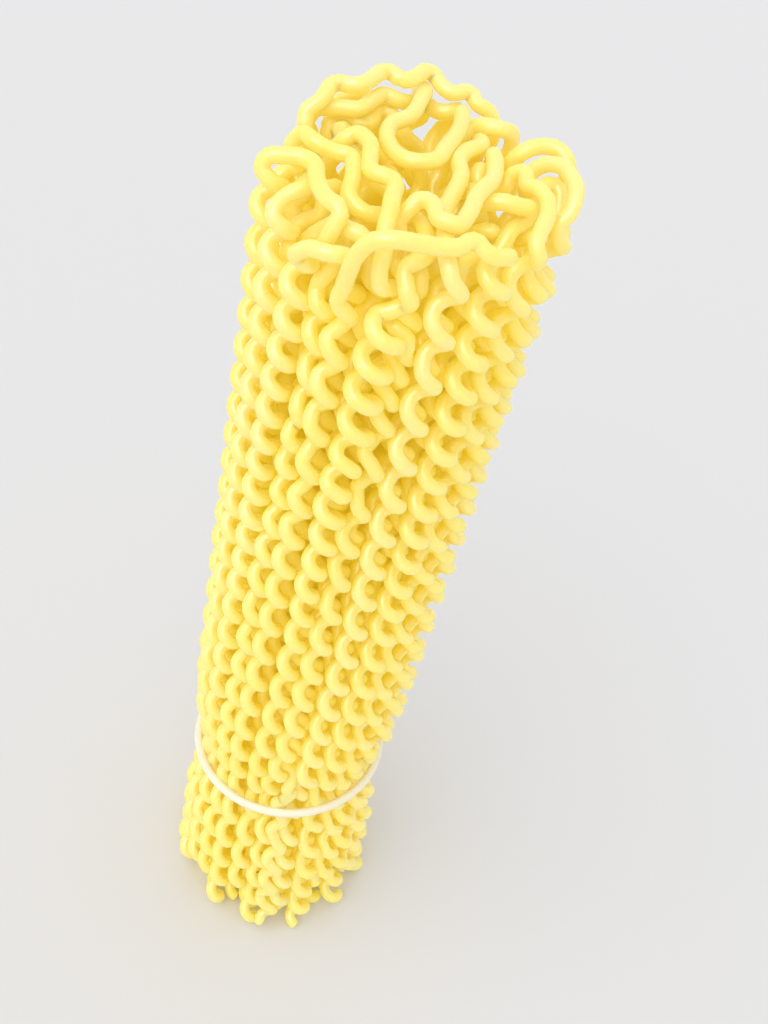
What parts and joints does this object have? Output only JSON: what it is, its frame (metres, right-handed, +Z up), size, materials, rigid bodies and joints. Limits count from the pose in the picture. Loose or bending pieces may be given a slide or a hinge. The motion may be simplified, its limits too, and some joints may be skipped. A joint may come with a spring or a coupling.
{
  "type": "bundle of long fusilli col buco pasta",
  "caption": "Upright bundle of long hollow corkscrew pasta, folded over at the top and tied near its foot with a thin elastic band.",
  "frame": {"origin": "on the table under the middle of the bundle, which stands on the cut ends of its strands", "axes": "+Z up along the bundle, from the cut ends to the folded tops; +X to the right and -Y towards the viewer"},
  "size_m": [0.0539, 0.0524, 0.2172],
  "materials": {
    "pasta": "smooth dry pasta, pale golden yellow, slightly translucent, satin",
    "band": "creamy white elastic cord, matt"
  },
  "bodies": {
    "root": {"fusilli_bundle": "pasta", "tie_band": "band"}
  },
  "joints": []
}
